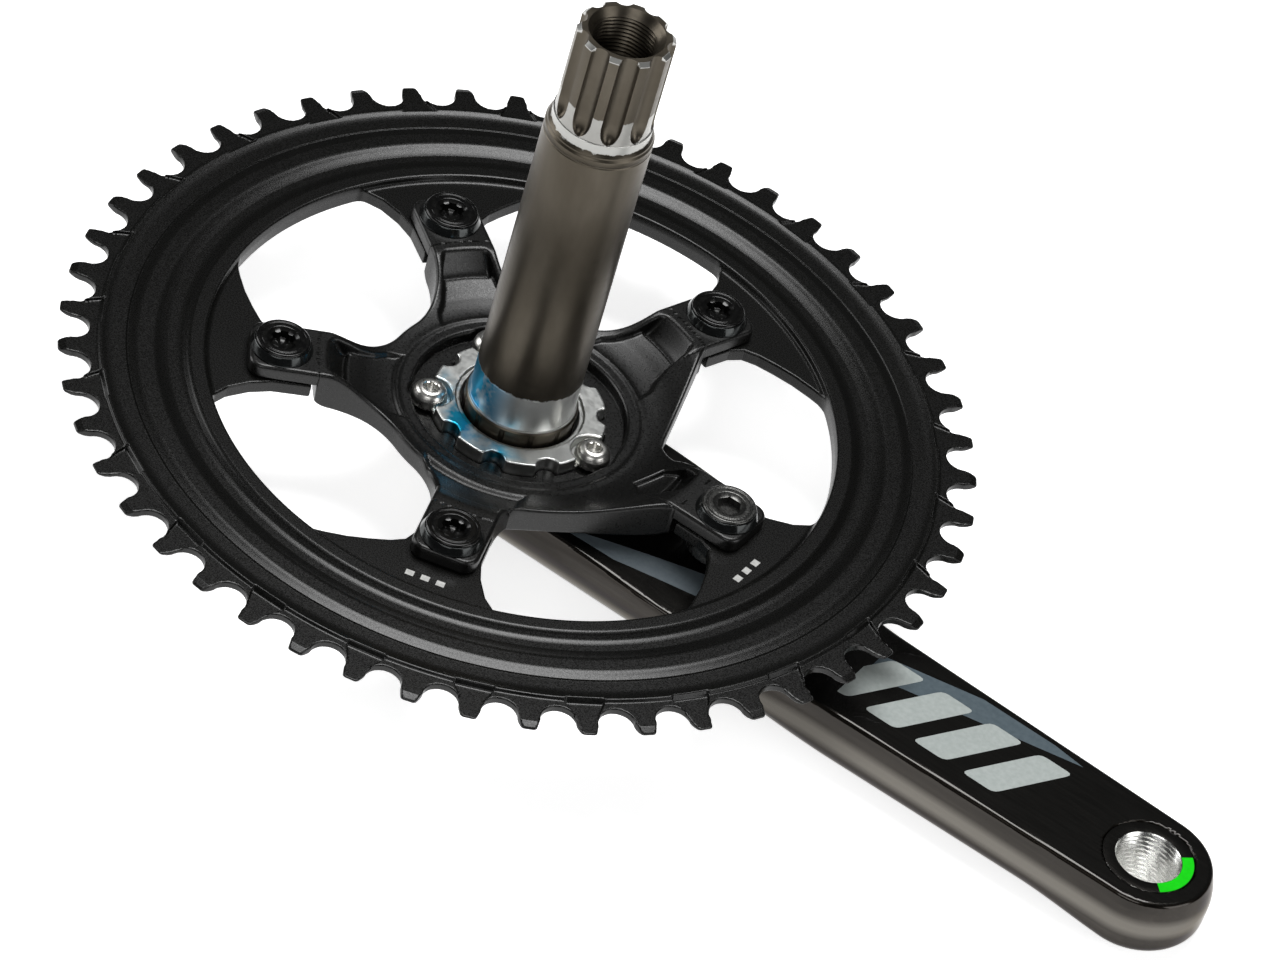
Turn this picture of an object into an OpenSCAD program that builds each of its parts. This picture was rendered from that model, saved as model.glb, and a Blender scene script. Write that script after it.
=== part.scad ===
/* [Chainring] */
// Number of teeth, even so that wide and narrow teeth alternate
teeth = 50; // [48:2:52]
// Chain pitch
chain_pitch = 12.7; // [12.6:0.1:12.8]
// Diameter of the circle through the chainring bolts
bolt_circle_d = 110; // [110:0.5:111]
// Thickness of the chainring tabs
tab_t = 3.3; // [3:0.1:3.5]

/* [Crank arm] */
// Distance from the spindle axis to the pedal axis
crank_length = 172.5; // [165:2.5:175]
// Depth of the arm at the pedal eye
arm_end_t = 15.5; // [14:0.5:17]
// Width of the arm at the spindle
arm_root_w = 45.4; // [44:0.2:46.4]
// Radius of the rounded end around the pedal axis
arm_end_r = 16; // [15:0.5:17]
// Wall of the hollow carbon arm
arm_wall = 3; // [2.5:0.1:3.5]

/* [Spindle] */
// Diameter of the drive-side bearing seat
spindle_d = 24; // [23.9:0.1:24.1]
// Diameter of the non-drive bearing seat
spindle_end_d = 22; // [21.8:0.1:22.2]
// Height of the spindle end above the chainring tabs
spindle_top = 105; // [104:0.5:107]
// Diameter of the bore through the spindle
spindle_bore_d = 18; // [16:0.5:19]
// Number of drive flutes at the free end
flutes = 10; // [8:1:12]

/* [Spider] */
// Width of a spider pad
pad_w = 15.2; // [14.5:0.1:15.6]
// Thickness of a spider pad above the chainring tab
pad_t = 3.5; // [3.3:0.1:3.7]
// Radius of the spider hub between the arms
hub_r = 32; // [31.5:0.1:32.5]

/* [Fasteners] */
// Diameter of a chainring bolt head
bolt_head_d = 12.2; // [12:0.1:12.4]
// Diameter of a chainring bolt shank
bolt_shank_d = 7.9; // [7.8:0.1:7.9]
// Diameter of the sleeve of a chainring nut
nut_sleeve_d = 9.96; // [9.9:0.01:9.98]

/* [Hidden] */
$fn = 96;

// The origin is on the spindle axis, level with the inboard face of the chainring tabs.
// +Z runs along the spindle towards its free end and +X along the crank arm.

arm_count = 5;
arm_step = 360 / arm_count;
bolt_r = bolt_circle_d / 2;
cut = 1;
through = 60;
run_fit = 0.05;

// Chainring
tooth_step = 360 / teeth;
pitch_r = chain_pitch / (2 * sin(tooth_step / 2));
roller_r = 3.95;
tip_r = pitch_r + 2.95;
rim_r = pitch_r - 6.1;
window_r = rim_r - 23.7;
tab_end_r = 47.5;
tooth_top = 0.8;
tooth_bottom = -0.95;
relief_floor = 0.15;
ring_floor = -3;
nut_hole_r = 5.02;

// Spider
pad_half = pad_w / 2;
pad_end = 62;
pad_start = 46.9;
hub_top = -2.6;
hub_flange_top = -6;
spider_floor = -8.5;
hub_inner_r = 24.4;
fillet_r = 18;
lip = 1.9;
pocket_r = 28.6;
pocket_end = 44.6;
crescent_r = 31;

// Levels of the arm at the pedal eye
arm_face = -14.7;
arm_bottom = arm_face - arm_end_t;

// Spider mount, the alloy piece between the arm, the spider and the spindle
mount_r = 19.8;
mount_top = -2.8;
mount_flange_r = 24.5;
mount_flange_t = 4.1;
mount_body_r = 15;
mount_bore_gap = 0.02;
mount_relief_r = 13.5;
notch_count = 10;
notch_step = 360 / notch_count;
notch_r = 2.8;
notch_at = 20.4;
screw_angles = [0, 2 * arm_step, 3 * arm_step];
screw_at = 20.3;
screw_seat_r = 5;
screw_seat_z = -5.4;
screw_top = -1.6;
screw_tip = -12;
screw_hole_end = -20;
screw_socket_r = 1.75;
screw_socket_depth = 1.6;
screw_head_r = 4.1;
screw_shank_r = 2.45;
screw_thread_r = 2.5;
screw_clear_r = 2.7;
fit_gap = 0.15;

// Spindle
spindle_r = spindle_d / 2;
spindle_end_r = spindle_end_d / 2;
spindle_bottom = arm_bottom + 8.2;
collar_r = 12.8;
collar_top = -0.1;
collar_bottom = -12;
shoulder_z = spindle_top - 25;
flute_bottom = spindle_top - 20.4;
flute_r = 2.3;
flute_at = spindle_end_r + 0.2;
flute_phase = 20;
land_r = spindle_end_r - 0.25;
seat_top = flute_bottom - flute_r;
thread_r = 7;
thread_end = 0;
bore_end = spindle_top - 30;
groove_count = 12;

// Arm: its face slopes down from the spindle, and its underside is level
arm_root_face = -9.3;
root_r = arm_root_w / 2;
mid_x = 100;
mid_r = arm_end_r + 1.5;
boss_r = 26.5;
duct_z = -17;
duct_r = 3;
duct_end = 34;

// Fasteners
bolt_head_top = 6.1;
bolt_head_t = 0.6;
barrel_r = 5;
barrel_bottom = 3.2;
bolt_tip = -4.2;
collar_foot_r = 7.1;
bolt_collar_top = 5.45;
nut_flange_r = 6.8;
nut_flange_t = 1.3;
arm_nut_flange_t = 4.3;
nut_top = 2.6;
socket_r = 2.9;
socket_depth = 2.6;

// Pedal insert
pedal_r = 7.14;
insert_r = 10.3;
insert_sink = 0.3;
sticker_t = 0.1;

function polar(r, a) = [r * cos(a), r * sin(a)];
function blend(a, b, t) = a + (b - a) * t;

// ---------------------------------------------------------------- chainring

// Gap between two teeth: the roller seat, opening out towards the tips.
module gullet() {
    circle(r = roller_r);
    polygon([[0, -roller_r], [4, -5.35], [4, 5.35], [0, roller_r]]);
}

module tooth_plan() {
    difference() {
        circle(r = tip_r);
        circle(r = rim_r - 4);
        for (i = [0 : teeth - 1])
            rotate(i * tooth_step)
                translate([pitch_r, 0])
                    gullet();
    }
}

// Relief on the inboard face of every second tooth.
module tooth_relief() {
    for (i = [0 : 2 : teeth - 1])
        rotate((i + 1.5) * tooth_step)
            translate([rim_r, 0])
                polygon([
                    [0, -4.3], [2, -3.5], [4, -2.5], [5, -3.2], [10, -3.2],
                    [10, 3.2], [5, 3.2], [4, 2.5], [2, 3.5], [0, 4.3]
                ]);
}

// One tab of the chainring, with its long gusset on one side.
module ring_tab() {
    polygon([
        [tab_end_r, -7.8], [54, -7.9], [57.2, -9.2], [59.2, -12], [61, -16], [62.8, -20.8],
        [64, -25.6], [65, -31], [80, -36], [82, 24], [window_r, 19], [69.6, 15.6],
        [66, 12], [61, 9.4], [56, 8], [tab_end_r, 7.8]
    ]);
}

module ring_section() {
    polygon([
        [tab_end_r - cut, 0], [window_r - 1, 0], [window_r - 0.2, 0.5], [window_r + 0.3, 1.3],
        [window_r + 0.7, 1.45], [window_r + 3.4, 1.45], [window_r + 4.2, 1.1],
        [window_r + 5.4, 0.4], [window_r + 6.6, 0.2], [window_r + 8.4, 0.2],
        [window_r + 9.6, 0.5], [window_r + 11.5, 1.25], [window_r + 11.9, 1.3],
        [window_r + 15, 1.3], [window_r + 16.2, 1.05], [window_r + 17.6, 0.65],
        [window_r + 19.2, 0.5], [window_r + 21, 0.7], [window_r + 23.4, 1.42],
        [window_r + 23.7, 1.42], [window_r + 23.9, tooth_top], [window_r + 23.9, tooth_bottom],
        [window_r + 22, -1.5], [window_r + 18, -2.7], [window_r + 12, ring_floor],
        [window_r, -tab_t], [tab_end_r - cut, -tab_t]
    ]);
}

module chainring() {
    color([0.10, 0.10, 0.095])
        difference() {
            union() {
                intersection() {
                    rotate_extrude()
                        ring_section();
                    translate([0, 0, -10])
                        linear_extrude(20)
                            union() {
                                difference() {
                                    circle(r = rim_r + 2);
                                    circle(r = window_r);
                                }
                                for (i = [0 : arm_count - 1])
                                    rotate(i * arm_step)
                                        ring_tab();
                            }
                }
                translate([0, 0, tooth_bottom])
                    linear_extrude(tooth_top - tooth_bottom)
                        tooth_plan();
            }
            translate([0, 0, relief_floor])
                linear_extrude(cut)
                    tooth_relief();
            for (i = [0 : arm_count - 1])
                rotate(i * arm_step)
                    translate([bolt_r, 0, -10])
                        cylinder(r = nut_hole_r, h = through);
        }
}

// ---------------------------------------------------------------- spider

// Arm outline: a parallel pad that runs into the hub through two concave arcs.
module spider_arm_plan() {
    arc_y = pad_half + fillet_r;
    arc_x = sqrt(pow(hub_r + fillet_r, 2) - arc_y * arc_y);
    touch = polar(hub_r, atan2(arc_y, arc_x));
    difference() {
        polygon([
            [0, 0], [touch[0], -touch[1]], [arc_x, -pad_half], [pad_end, -pad_half],
            [pad_end, pad_half], [arc_x, pad_half], touch
        ]);
        for (side = [-1, 1])
            translate([arc_x, side * arc_y])
                circle(r = fillet_r);
    }
}

// Solid webs that tie the arm over the crank to its two neighbours.
module spider_webs_plan() {
    polygon([[0, 0], [45.6, -pad_half], [21.8, -30.1], [18.4, -33.5], [12.4, -41]]);
    polygon([[0, 0], [44, pad_half], [38, 9], [34, 9.2], [31.2, 11.4], [29.6, 15.3], [21.2, 41.4]]);
}

module spider_plan() {
    circle(r = hub_r);
    for (i = [0 : arm_count - 1])
        rotate(i * arm_step)
            spider_arm_plan();
    spider_webs_plan();
}

// Half section of the spider: a low hub that rises to the level of the pads.
module spider_section() {
    polygon([
        [0, spider_floor], [0, hub_top], [28.2, hub_top], [31, -2.3], [34, -1.4], [37, 0],
        [40, 1.7], [42.5, 2.9], [44.4, pad_t], [pad_end + 2, pad_t], [pad_end + 2, 0],
        [pad_start, 0], [pad_start, -4.6], [42, -6.2], [32, -7], [30, spider_floor]
    ]);
}

// Pocket between the hub and a pad, inside the raised lip.
module arm_pocket_plan() {
    polygon([
        [26, -9.6], [30.2, -9.6], [33, -7.8], [37, -6.6], [42.4, -pad_half + lip],
        [pocket_end, -4.6], [pocket_end, 4.6], [42.4, pad_half - lip], [37, 6.6], [33, 7.8],
        [30.2, 9.6], [26, 9.6]
    ]);
}

// Smaller pocket of the arm over the crank.
module crank_side_pocket_plan() {
    polygon([
        [33.2, -2.6], [36.2, -6], [40, -5], [43.2, -1.4], [43.6, 1], [43.4, 5.2], [40, 6.4],
        [36, 4.6]
    ]);
}

// Crescent pocket of the arm below the crank.
module crescent_plan() {
    difference() {
        polygon([
            [27, -12.6], [34.6, -11.4], [38.6, -6.6], [40.2, -3], [40.2, 3], [38.6, 6.6],
            [34, 9.4], [27, 9.4]
        ]);
        circle(r = crescent_r);
    }
}

// Cuts the outline it is given: a floor that rises from the hub, a trough, and a slope up to
// the pad.
module pocket_cut() {
    intersection() {
        rotate_extrude()
            polygon([
                [26, 10], [26, -3.3], [30, -3.3], [34, -2.6], [39.4, -1], [40.3, -2],
                [pocket_end, pad_t], [pocket_end, 10]
            ]);
        translate([0, 0, -10])
            linear_extrude(20)
                children();
    }
}

// Lobes of the spider that sit in the notches of the spider mount.
module spider_lobes_plan() {
    for (i = [0 : notch_count - 1])
        rotate(i * notch_step)
            translate([notch_at, 0])
                circle(r = notch_r - fit_gap);
}

module spider() {
    color([0.13, 0.13, 0.125])
        difference() {
            union() {
                difference() {
                    intersection() {
                        rotate_extrude()
                            spider_section();
                        translate([0, 0, -10])
                            linear_extrude(20)
                                spider_plan();
                    }
                    translate([0, 0, hub_flange_top])
                        cylinder(r = hub_inner_r, h = through);
                    translate([0, 0, spider_floor - cut])
                        cylinder(r = mount_r + fit_gap, h = through);
                    for (i = [1 : 3])
                        rotate(i * arm_step)
                            pocket_cut()
                                difference() {
                                    arm_pocket_plan();
                                    circle(r = pocket_r);
                                }
                    rotate(-arm_step)
                        pocket_cut()
                            crescent_plan();
                    pocket_cut()
                        crank_side_pocket_plan();
                }
                translate([0, 0, spider_floor])
                    linear_extrude(hub_flange_top - spider_floor)
                        intersection() {
                            spider_lobes_plan();
                            circle(r = mount_r + 1);
                        }
            }
            for (a = screw_angles)
                rotate(a)
                    translate([screw_at, 0, 0]) {
                        translate([0, 0, hub_flange_top])
                            cylinder(r = screw_seat_r, h = through);
                        translate([0, 0, spider_floor - cut])
                            cylinder(r = screw_clear_r, h = through);
                    }
            for (i = [0 : arm_count - 1])
                rotate(i * arm_step)
                    translate([bolt_r, 0, -cut])
                        cylinder(r = nut_hole_r, h = through);
        }
}

// Button-head screws that hold the spider to its mount.
module spider_screw() {
    difference() {
        union() {
            rotate_extrude()
                polygon([
                    [0, screw_seat_z + run_fit], [screw_head_r, screw_seat_z + run_fit],
                    [screw_head_r, screw_top - 2.6],
                    [3.7, screw_top - 1.2], [3, screw_top - 0.3], [2.4, screw_top], [0, screw_top]
                ]);
            translate([0, 0, screw_tip])
                cylinder(r = screw_shank_r, h = screw_seat_z + run_fit - screw_tip);
        }
        translate([0, 0, screw_top - screw_socket_depth])
            linear_extrude(screw_socket_depth + cut)
                star_socket_plan(screw_socket_r);
    }
}

module spider_screws() {
    color([0.80, 0.79, 0.76])
        for (a = screw_angles)
            rotate(a)
                translate([screw_at, 0, 0])
                    spider_screw();
}

// Six-lobed drive socket.
module star_socket_plan(r) {
    difference() {
        circle(r = r);
        for (i = [0 : 5])
            rotate(i * 60 + 30)
                translate([r * 1.06, 0])
                    circle(r = r * 0.26);
    }
}

// ---------------------------------------------------------------- spider mount

module spider_mount() {
    color([0.78, 0.78, 0.76])
        difference() {
            union() {
                translate([0, 0, spider_floor])
                    linear_extrude(mount_top - spider_floor)
                        difference() {
                            circle(r = mount_r);
                            for (i = [0 : notch_count - 1])
                                rotate(i * notch_step)
                                    translate([notch_at, 0])
                                        circle(r = notch_r);
                        }
                translate([0, 0, spider_floor - mount_flange_t])
                    cylinder(r = mount_flange_r, h = mount_flange_t);
                translate([0, 0, spindle_bottom + 1])
                    cylinder(r = mount_body_r, h = spider_floor - spindle_bottom - 2);
            }
            translate([0, 0, spindle_bottom - 5])
                cylinder(r = spindle_r + mount_bore_gap, h = through);
            translate([0, 0, collar_bottom])
                cylinder(r = mount_relief_r, h = through);
            for (a = screw_angles)
                rotate(a)
                    translate([screw_at, 0, 0]) {
                        translate([0, 0, screw_seat_z])
                            cylinder(r = screw_seat_r, h = through);
                        translate([0, 0, screw_hole_end])
                            cylinder(r = screw_thread_r, h = -screw_hole_end);
                    }
        }
}

// ---------------------------------------------------------------- spindle

module spindle() {
    color([0.33, 0.31, 0.28])
        difference() {
            rotate_extrude()
                polygon([
                    [0, spindle_bottom], [spindle_r, spindle_bottom],
                    [spindle_r, collar_bottom + 0.5], [collar_r, collar_bottom + 0.5],
                    [collar_r, collar_top - 0.5], [collar_r - 0.5, collar_top],
                    [spindle_r, collar_top], [spindle_r, shoulder_z - 1.4],
                    [spindle_r - 0.4, shoulder_z - 0.9], [spindle_r - 0.4, shoulder_z - 0.6],
                    [spindle_end_r, shoulder_z], [spindle_end_r, seat_top], [land_r, seat_top],
                    [land_r, spindle_top - 0.7], [land_r - 0.8, spindle_top], [0, spindle_top]
                ]);
            for (i = [0 : flutes - 1])
                rotate(i * 360 / flutes + flute_phase)
                    translate([flute_at, 0, flute_bottom]) {
                        cylinder(r = flute_r, h = through);
                        sphere(r = flute_r);
                    }
            translate([0, 0, spindle_bottom - cut])
                cylinder(d = spindle_bore_d, h = bore_end - spindle_bottom + cut);
            translate([0, 0, thread_end])
                cylinder(r = thread_r, h = spindle_top - thread_end + cut);
            translate([0, 0, spindle_top - 1.4])
                cylinder(r1 = thread_r, r2 = thread_r + 1.5, h = 1.5);
            for (i = [0 : groove_count - 1])
                rotate((i + 0.5) * 360 / groove_count)
                    translate([collar_r + 0.4, 0, collar_bottom - cut])
                        cylinder(r = 0.8, h = collar_top - collar_bottom + 2 * cut);
        }
}

// ---------------------------------------------------------------- crank arm

// Half width of the arm at distance x from the spindle.
function side_w(x) =
    x > crank_length ? arm_end_r * sqrt(max(0.02, 1 - pow((x - crank_length) / arm_end_r, 2)))
    : x < 45 ? root_r
    : x < mid_x ? blend(root_r, mid_r, 0.5 - 0.5 * cos((x - 45) / (mid_x - 45) * 180))
    : blend(mid_r, arm_end_r, (x - mid_x) / (crank_length - mid_x));

// Level of the arm's face at distance x.
function face_z(x) =
    x < 22 ? arm_root_face
    : x < mid_x ? blend(arm_root_face, arm_face, 0.5 - 0.5 * cos((x - 22) / (mid_x - 22) * 180))
    : arm_face;

// Half outlines of a cross section from the edge of the face round to the underside,
// each point [part of the half width, part of the depth]: at the spindle and at the pedal.
root_shape = [
    [0.965, 0], [0.985, 0.05], [1, 0.11], [1, 0.2], [0.978, 0.36],
    [0.907, 0.512], [0.78, 0.68], [0.6, 0.85], [0.405, 0.965], [0.28, 1]
];
end_shape = [
    [0.9, 0], [0.935, 0.03], [0.965, 0.12], [0.99, 0.3], [1, 0.5],
    [0.985, 0.68], [0.93, 0.83], [0.82, 0.93], [0.62, 0.98], [0.3, 1]
];

// Half outline at distance x, in millimetres from the middle and down from the face.
function half_section(x, inset) =
    let (
        width = side_w(x) - inset,
        depth = face_z(x) - arm_bottom - 2 * inset,
        part = min(1, max(0, (x - 50) / (mid_x - 50)))
    )
    [for (i = [0 : len(root_shape) - 1])
        let (p = blend(root_shape[i], end_shape[i], part)) [p[0] * width, p[1] * depth]];

function section_points(x, inset) =
    let (half = half_section(x, inset), top = face_z(x) - inset)
    concat(
        [for (p = half) [x, -p[0], top - p[1]]],
        [for (i = [len(half) - 1 : -1 : 0]) [x, half[i][0], top - half[i][1]]]
    );

function round_end(n, from, to) = [for (i = [0 : n]) from + (to - from) * sin(90 * i / n)];

// Closed solid lofted through the sections at the given stations.
module loft(stations, inset) {
    rings = [for (x = stations) section_points(x, inset)];
    n = len(rings[0]);
    last = len(rings) - 1;
    polyhedron(
        points = [for (ring = rings) for (p = ring) p],
        faces = concat(
            [[for (i = [0 : n - 1]) i]],
            [for (k = [0 : last - 1]) for (i = [0 : n - 1])
                [k * n + i, (k + 1) * n + i, (k + 1) * n + (i + 1) % n, k * n + (i + 1) % n]],
            [[for (i = [n - 1 : -1 : 0]) last * n + i]]
        )
    );
}

shell_stations = concat(
    [0, 20],
    [for (x = [25 : 7.5 : 160]) x],
    round_end(10, crank_length, crank_length + arm_end_r)
);
core_stations = [for (x = [34 : 8 : 154]) x];

// Round end of the arm under the spindle, with the boss that takes the spider mount.
module arm_root() {
    lower = [for (p = half_section(0, 0)) if (p[1] > 7) [p[0] + 0.05, arm_root_face - p[1]]];
    rotate_extrude()
        polygon(concat(
            [
                [0, arm_root_face], [boss_r - 0.6, arm_root_face], [boss_r, arm_root_face - 0.6],
                [boss_r, arm_root_face - 4], [root_r + 0.05, arm_root_face - 6.5]
            ],
            lower,
            [[0, arm_bottom]]
        ));
}

module arm_shell() {
    color([0.14, 0.12, 0.10])
        difference() {
            union() {
                loft(shell_stations, 0);
                arm_root();
            }
            loft(concat([32], core_stations, [156]), arm_wall);
            translate([mount_body_r - cut, 0, duct_z])
                rotate([0, 90, 0])
                    cylinder(r = duct_r, h = duct_end - mount_body_r + cut);
            translate([0, 0, spider_floor - mount_flange_t])
                cylinder(r = mount_flange_r + run_fit, h = through);
            translate([0, 0, spindle_bottom - 0.2])
                cylinder(r = mount_body_r + run_fit, h = through);
            translate([crank_length, 0, -through])
                cylinder(r = insert_r, h = through);
        }
}

module arm_core() {
    color([0.80, 0.74, 0.58])
        loft(core_stations, arm_wall + 0.3);
}

module pedal_insert() {
    color([0.72, 0.72, 0.70])
        translate([crank_length, 0, 0])
            difference() {
                translate([0, 0, arm_bottom])
                    cylinder(r = insert_r - 0.02, h = arm_end_t - insert_sink);
                translate([0, 0, arm_bottom - cut])
                    cylinder(r = pedal_r, h = through);
            }
}

// Arc-shaped sticker beside the pedal hole.
module length_sticker() {
    color([0.05, 0.80, 0.05])
        translate([crank_length, 0, arm_face - insert_sink])
            linear_extrude(sticker_t)
                intersection() {
                    difference() {
                        circle(r = insert_r - 0.15);
                        circle(r = pedal_r + 0.25);
                    }
                    polygon([[0, 0], [20, -20], [20, 20]]);
                }
}

// ---------------------------------------------------------------- fasteners

module at_bolt(i) {
    rotate((i - 1) * arm_step)
        translate([bolt_r, 0, 0])
            children();
}

// Head, barrel and threaded shank; the socket has six lobes, or six flats on the crank side.
module ring_bolt(flats) {
    difference() {
        union() {
            rotate_extrude()
                polygon([
                    [0, barrel_bottom], [barrel_r, barrel_bottom],
                    [barrel_r, bolt_head_top - bolt_head_t],
                    [bolt_head_d / 2, bolt_head_top - bolt_head_t],
                    [bolt_head_d / 2, bolt_head_top - 0.2], [bolt_head_d / 2 - 0.3, bolt_head_top],
                    [0, bolt_head_top]
                ]);
            translate([0, 0, bolt_tip])
                cylinder(d = bolt_shank_d, h = barrel_bottom - bolt_tip + 0.1);
        }
        translate([0, 0, bolt_head_top - 0.6])
            cylinder(r1 = socket_r, r2 = socket_r + 0.6, h = 0.601);
        translate([0, 0, bolt_head_top - socket_depth])
            linear_extrude(socket_depth + 1)
                if (flats)
                    circle(r = socket_r, $fn = 6);
                else
                    star_socket_plan(socket_r);
    }
}

module bolt_collar(i) {
    color([0.16, 0.16, 0.16])
        at_bolt(i)
            rotate_extrude()
                polygon([
                    [barrel_r + run_fit, pad_t], [collar_foot_r, pad_t],
                    [collar_foot_r, pad_t + 0.25], [6.35, bolt_collar_top - 0.15],
                    [6.2, bolt_collar_top], [barrel_r + run_fit, bolt_collar_top]
                ]);
}

module sleeve_nut(flange_t) {
    difference() {
        rotate_extrude()
            polygon([
                [0, -tab_t - flange_t], [nut_flange_r - 0.6, -tab_t - flange_t],
                [nut_flange_r, -tab_t - flange_t + 0.6], [nut_flange_r, -tab_t],
                [nut_sleeve_d / 2, -tab_t], [nut_sleeve_d / 2, nut_top], [0, nut_top]
            ]);
        translate([0, 0, -through / 2])
            cylinder(r = bolt_shank_d / 2 + run_fit, h = through);
    }
}

module chainring_nuts() {
    color([0.12, 0.12, 0.12])
        for (i = [2 : arm_count])
            at_bolt(i)
                sleeve_nut(nut_flange_t);
}

module arm_side_nut() {
    color([0.35, 0.35, 0.34])
        at_bolt(1)
            sleeve_nut(arm_nut_flange_t);
}

module bolt_collar_1() bolt_collar(1);
module bolt_collar_2() bolt_collar(2);
module bolt_collar_3() bolt_collar(3);
module bolt_collar_4() bolt_collar(4);
module bolt_collar_5() bolt_collar(5);

module chainring_bolt_1() color([0.40, 0.40, 0.39]) at_bolt(1) ring_bolt(true);
module chainring_bolt_2() color([0.10, 0.10, 0.10]) at_bolt(2) ring_bolt(false);
module chainring_bolt_3() color([0.10, 0.10, 0.10]) at_bolt(3) ring_bolt(false);
module chainring_bolt_4() color([0.10, 0.10, 0.10]) at_bolt(4) ring_bolt(false);
module chainring_bolt_5() color([0.10, 0.10, 0.10]) at_bolt(5) ring_bolt(false);

arm_shell();
arm_core();
spider_mount();
spindle();
pedal_insert();
length_sticker();
spider();
spider_screws();
chainring();
chainring_nuts();
arm_side_nut();
bolt_collar_1();
bolt_collar_2();
bolt_collar_3();
bolt_collar_4();
bolt_collar_5();
chainring_bolt_1();
chainring_bolt_2();
chainring_bolt_3();
chainring_bolt_4();
chainring_bolt_5();
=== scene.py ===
import math

import bpy
import numpy as np
from mathutils import Matrix, Vector


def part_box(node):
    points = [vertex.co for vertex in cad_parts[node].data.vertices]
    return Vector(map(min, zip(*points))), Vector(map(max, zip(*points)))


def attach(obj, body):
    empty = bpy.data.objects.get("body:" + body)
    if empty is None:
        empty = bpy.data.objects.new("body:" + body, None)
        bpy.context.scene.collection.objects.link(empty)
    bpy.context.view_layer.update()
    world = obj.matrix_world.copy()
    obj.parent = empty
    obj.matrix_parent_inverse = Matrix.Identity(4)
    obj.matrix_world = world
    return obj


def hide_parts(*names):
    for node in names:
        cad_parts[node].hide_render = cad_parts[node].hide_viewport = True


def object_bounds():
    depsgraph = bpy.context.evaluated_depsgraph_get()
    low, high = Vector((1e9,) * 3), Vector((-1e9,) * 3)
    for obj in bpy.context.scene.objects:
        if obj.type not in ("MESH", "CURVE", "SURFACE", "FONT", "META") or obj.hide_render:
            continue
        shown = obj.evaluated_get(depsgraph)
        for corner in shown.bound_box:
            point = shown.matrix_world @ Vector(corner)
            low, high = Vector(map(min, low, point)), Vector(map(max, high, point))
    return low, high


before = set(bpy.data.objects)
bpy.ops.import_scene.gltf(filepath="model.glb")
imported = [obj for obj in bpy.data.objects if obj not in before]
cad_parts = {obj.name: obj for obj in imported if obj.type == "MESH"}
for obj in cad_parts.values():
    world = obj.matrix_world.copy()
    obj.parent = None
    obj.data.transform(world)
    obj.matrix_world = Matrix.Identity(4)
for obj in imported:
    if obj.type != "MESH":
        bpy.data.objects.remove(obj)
cad_low, cad_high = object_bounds()

MM = 0.001
PI = math.pi

# ---------------------------------------------------------------- sizes, in millimetres, as in the CAD

ARMS = 5
ARM_STEP = 2 * PI / ARMS
BOLT_R = 55.0
TEETH = 50
TOOTH_STEP = 2 * PI / TEETH
PITCH_R = 12.7 / (2 * math.sin(TOOTH_STEP / 2))
ROLLER_R = 3.95
TIP_R = PITCH_R + 2.95
RIM_R = PITCH_R - 6.1
WINDOW_R = RIM_R - 23.7
TAB_T = 3.3
TOOTH_TOP, TOOTH_BOTTOM = 0.8, -0.95
RELIEF_FLOOR = 0.15
HUB_R, FILLET_R, PAD_HALF, PAD_END, PAD_T = 32.0, 18.0, 7.6, 62.0, 3.5
HUB_TOP, SPIDER_FLOOR = -2.6, -8.5
SCREW_ANGLES = (0.0, 2 * ARM_STEP, 3 * ARM_STEP)
SCREW_AT = 20.3
PEDAL_X = 172.5
ARM_FACE = -14.7
ARM_BOTTOM = -30.2
ROOT_R = 22.7
SPINDLE_TOP = 105.0
SHOULDER = SPINDLE_TOP - 25.0


# ---------------------------------------------------------------- signed distance helpers

def both(a, b, r):
    """Intersection of two distance fields, with its edge rounded to radius r."""
    return np.minimum(-r, np.maximum(a, b)) + np.hypot(np.maximum(r + a, 0), np.maximum(r + b, 0))


def either(a, b, r):
    """Union of two distance fields, with a fillet of radius r between them."""
    return np.maximum(r, np.minimum(a, b)) - np.hypot(np.maximum(r - a, 0), np.maximum(r - b, 0))


def less(a, b, r):
    """a with b cut out of it, the edge rounded to radius r."""
    return both(a, -b, r)


def polygon(x, y, points):
    """Signed distance to a polygon in the plane."""
    x, y = np.broadcast_arrays(x, y)
    best = np.full(x.shape, 1e12, x.dtype)
    inside = np.zeros(x.shape, bool)
    for (ax, ay), (bx, by) in zip(points, points[1:] + points[:1]):
        ex, ey = bx - ax, by - ay
        wx, wy = x - ax, y - ay
        t = np.clip((wx * ex + wy * ey) / (ex * ex + ey * ey), 0, 1)
        best = np.minimum(best, (wx - ex * t) ** 2 + (wy - ey * t) ** 2)
        if ay != by:
            inside ^= ((ay > y) != (by > y)) & (x < ex * (y - ay) / ey + ax)
    return np.where(inside, -1, 1) * np.sqrt(best)


def smooth_curve(points):
    """A function through the points with no overshoot (monotone cubic), and its slope."""
    px, py = (np.array(v, float) for v in zip(*points))
    h = np.diff(px)
    d = np.diff(py) / h
    m = np.zeros(len(px))
    same = d[1:] * d[:-1] > 0
    w1, w2 = 2 * h[1:] + h[:-1], h[1:] + 2 * h[:-1]
    safe = lambda v: np.where(np.abs(v) < 1e-12, 1e-12, v)
    m[1:-1] = np.where(same, (w1 + w2) / (w1 / safe(d[:-1]) + w2 / safe(d[1:])), 0)
    tx = np.arange(px[0], px[-1], 0.02)
    k = np.clip(np.searchsorted(px, tx, side="right") - 1, 0, len(h) - 1)
    t = (tx - px[k]) / h[k]
    ty = (
        (2 * t**3 - 3 * t**2 + 1) * py[k] + (t**3 - 2 * t**2 + t) * h[k] * m[k]
        + (3 * t**2 - 2 * t**3) * py[k + 1] + (t**3 - t**2) * h[k] * m[k + 1]
    )
    slope = np.gradient(ty, tx)
    return lambda v: (np.interp(v, tx, ty), np.interp(v, tx, slope))


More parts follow.
